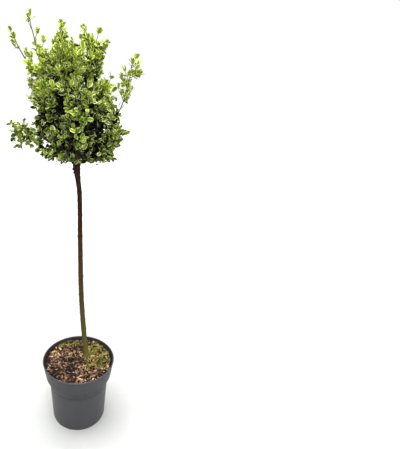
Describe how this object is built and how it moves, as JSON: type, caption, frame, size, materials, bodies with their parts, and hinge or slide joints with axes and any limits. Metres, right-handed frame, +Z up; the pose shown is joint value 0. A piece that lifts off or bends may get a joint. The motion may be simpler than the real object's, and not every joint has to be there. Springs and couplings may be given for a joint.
{
  "type": "standard topiary shrub in a nursery pot",
  "caption": "Small standard of variegated evergreen spindle: bushy leafy head with long shoots on a clear stem, in a round dark plastic nursery pot filled with bark compost.",
  "frame": {"origin": "middle of the pot's flat underside", "axes": "+Z up along the height of the plant, +X to the right as seen from the front, -Y towards the front"},
  "size_m": [0.2761, 0.19, 0.9982],
  "materials": {
    "pot": "matte dark slate grey moulded plastic",
    "compost": "rough brown bark and coir chips",
    "bark": "rough dark brown bark, greener near the compost",
    "foliage": "satin yellow-green leaves with pale margins"
  },
  "bodies": {
    "root": {"pot": "pot", "compost": "compost", "trunk": "bark", "bough_lower_left": "bark", "bough_lower_front": "bark", "bough_lower_right": "bark", "bough_lower_back": "bark", "bough_leader_left": "bark", "bough_leader_front": "bark", "bough_leader_right": "bark", "bough_leader_back": "bark", "bough_leader_centre": "bark", "bough_middle_left": "bark", "bough_middle_front": "bark", "bough_middle_right": "bark", "bough_middle_back": "bark", "bough_far_left_shoot": "bark", "bough_left_shoot": "bark", "bough_far_right_shoot": "bark", "bough_lower_left_spray": "bark", "foliage_lower_left": "foliage", "foliage_lower_front": "foliage", "foliage_lower_right": "foliage", "foliage_lower_back": "foliage", "foliage_middle_left": "foliage", "foliage_middle_front": "foliage", "foliage_middle_right": "foliage", "foliage_middle_back": "foliage", "foliage_leader_left": "foliage", "foliage_leader_front": "foliage", "foliage_leader_right": "foliage", "foliage_leader_back": "foliage", "foliage_leader_centre": "foliage", "foliage_far_left_shoot": "foliage", "foliage_left_shoot": "foliage", "foliage_far_right_shoot": "foliage", "foliage_lower_left_spray": "foliage"}
  },
  "joints": []
}
